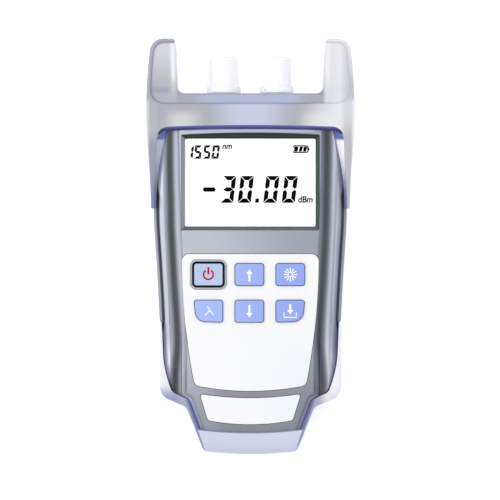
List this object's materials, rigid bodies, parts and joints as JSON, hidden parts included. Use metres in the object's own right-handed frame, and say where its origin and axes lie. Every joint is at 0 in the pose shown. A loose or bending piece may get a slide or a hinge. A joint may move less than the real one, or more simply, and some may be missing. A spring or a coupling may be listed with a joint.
{
  "type": "optical power meter",
  "caption": "Handheld fibre-optic power meter in a translucent horned rubber boot, with a bevelled display, keypad, capped optical ports and a sliding battery door.",
  "frame": {"origin": "middle of the length and width, on the plane that the back of the boot rests on", "axes": "+Z out of the display, +Y towards the horns and optical ports, +X to the right seen from the front"},
  "size_m": [0.0876, 0.1746, 0.0328],
  "materials": {
    "boot_rubber": "translucent moulded silicone",
    "front_paint": "satin metallic grey paint on plastic",
    "rear_plastic": "light grey moulded plastic",
    "clear_lens": "clear acrylic",
    "display_glass": "white liquid-crystal panel",
    "tray_plastic": "white moulded plastic",
    "white_film": "satin white film",
    "ring_grey": "grey moulded plastic",
    "mat_silicone": "silicone",
    "board_green": "solder mask",
    "contact_steel": "plated spring steel",
    "chip_black": "moulded epoxy",
    "cell_sleeve": "plain shrink sleeve",
    "screw_steel": "zinc-plated steel",
    "port_nickel": "nickel-plated brass",
    "sleeve_ceramic": "zirconia ceramic",
    "cap_white": "white moulded plastic",
    "key_blue": "blue satin plastic",
    "power_cap": "pale blue satin plastic"
  },
  "bodies": {
    "case": {"rubber_boot": "boot_rubber", "front_shell": "front_paint", "rear_shell": "rear_plastic", "display_window": "clear_lens", "display_panel": "display_glass", "display_tray": "tray_plastic", "keypad_overlay": "white_film", "nameplate": "white_film", "power_key_surround": "ring_grey", "keypad_mat": "mat_silicone", "main_board": "board_green", "key_switches": "contact_steel", "board_chips": "chip_black", "shield_can": "contact_steel", "battery_springs": "contact_steel", "battery_plates": "contact_steel", "battery_1": "cell_sleeve", "battery_2": "cell_sleeve", "battery_3": "cell_sleeve", "case_screws": "screw_steel", "board_screws": "screw_steel", "port_adapter_left": "port_nickel", "port_adapter_right": "port_nickel", "port_sleeve_left": "sleeve_ceramic", "port_sleeve_right": "sleeve_ceramic", "detector_left": "contact_steel", "detector_right": "contact_steel"},
    "left_cap": {"dust_cap_left": "cap_white"},
    "right_cap": {"dust_cap_right": "cap_white"},
    "battery_cover": {"battery_door": "rear_plastic"},
    "key_power_body": {"key_power": "power_cap"},
    "key_up_body": {"key_up": "key_blue"},
    "key_light_body": {"key_light": "key_blue"},
    "key_wavelength_body": {"key_wavelength": "key_blue"},
    "key_down_body": {"key_down": "key_blue"},
    "key_save_body": {"key_save": "key_blue"}
  },
  "joints": [
    {"name": "key_power_press", "type": "slide", "parent": "case", "child": "key_power_body", "axis": [0, 0, -1], "range_m": [0, 0.0008], "stiffness_N_per_m": 400, "springref_m": -0.0008},
    {"name": "key_up_press", "type": "slide", "parent": "case", "child": "key_up_body", "axis": [0, 0, -1], "range_m": [0, 0.0008], "stiffness_N_per_m": 400, "springref_m": -0.0008},
    {"name": "key_light_press", "type": "slide", "parent": "case", "child": "key_light_body", "axis": [0, 0, -1], "range_m": [0, 0.0008], "stiffness_N_per_m": 400, "springref_m": -0.0008},
    {"name": "key_wavelength_press", "type": "slide", "parent": "case", "child": "key_wavelength_body", "axis": [0, 0, -1], "range_m": [0, 0.0008], "stiffness_N_per_m": 400, "springref_m": -0.0008},
    {"name": "key_down_press", "type": "slide", "parent": "case", "child": "key_down_body", "axis": [0, 0, -1], "range_m": [0, 0.0008], "stiffness_N_per_m": 400, "springref_m": -0.0008},
    {"name": "key_save_press", "type": "slide", "parent": "case", "child": "key_save_body", "axis": [0, 0, -1], "range_m": [0, 0.0008], "stiffness_N_per_m": 400, "springref_m": -0.0008},
    {"name": "left_cap_pull", "type": "slide", "parent": "case", "child": "left_cap", "axis": [0, 1, 0], "range_m": [0, 0.03]},
    {"name": "right_cap_pull", "type": "slide", "parent": "case", "child": "right_cap", "axis": [0, 1, 0], "range_m": [0, 0.03]},
    {"name": "battery_door_slide", "type": "slide", "parent": "case", "child": "battery_cover", "axis": [0, -1, 0], "range_m": [0, 0.006]}
  ]
}
